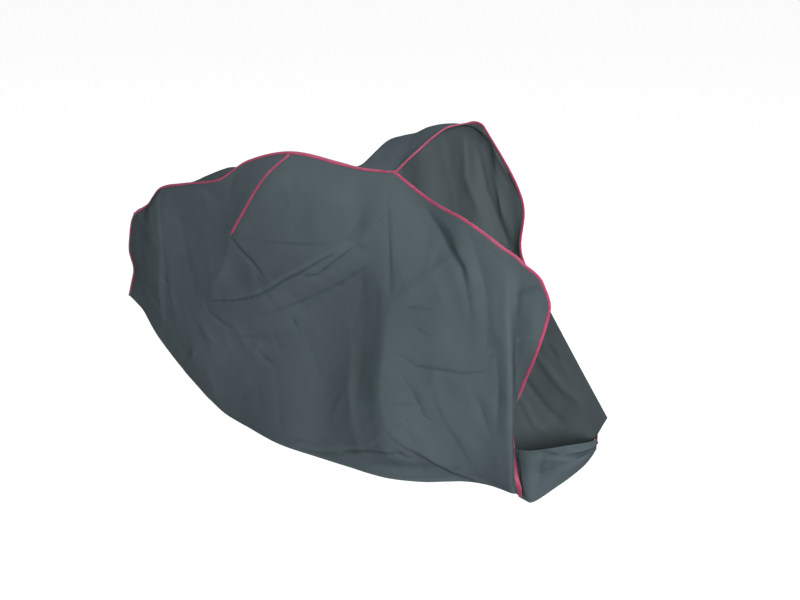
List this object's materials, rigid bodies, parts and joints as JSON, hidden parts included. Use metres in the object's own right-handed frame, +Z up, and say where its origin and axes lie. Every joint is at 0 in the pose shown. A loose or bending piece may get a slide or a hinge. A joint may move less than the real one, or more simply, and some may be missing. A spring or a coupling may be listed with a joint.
{
  "type": "bicycle cover",
  "caption": "Fitted, hollow bicycle cover of coated woven cloth, draped and opened at the front, with bound spine seam, dart and front edges and a toe gusset.",
  "frame": {"origin": "the seat: the point just under the top of the hump, where the covered bicycle's highest part behind the apex holds the cover up", "axes": "+X forward along the cover's length towards the opened front, +Y to the far panel, +Z up; the floor is 0.903 m below the origin"},
  "size_m": [1.6832, 0.4971, 1.0076],
  "materials": {
    "cloth": "coated plain weave, low sheen, slate grey",
    "binding": "folded woven tape, satin, crimson"
  },
  "bodies": {
    "root": {"side_panel_near": "cloth", "side_panel_far": "cloth", "toe_gusset": "cloth", "binding_spine": "binding", "binding_dart": "binding", "binding_near_edge": "binding", "binding_far_edge": "binding", "binding_toe_tip": "binding"}
  },
  "joints": []
}
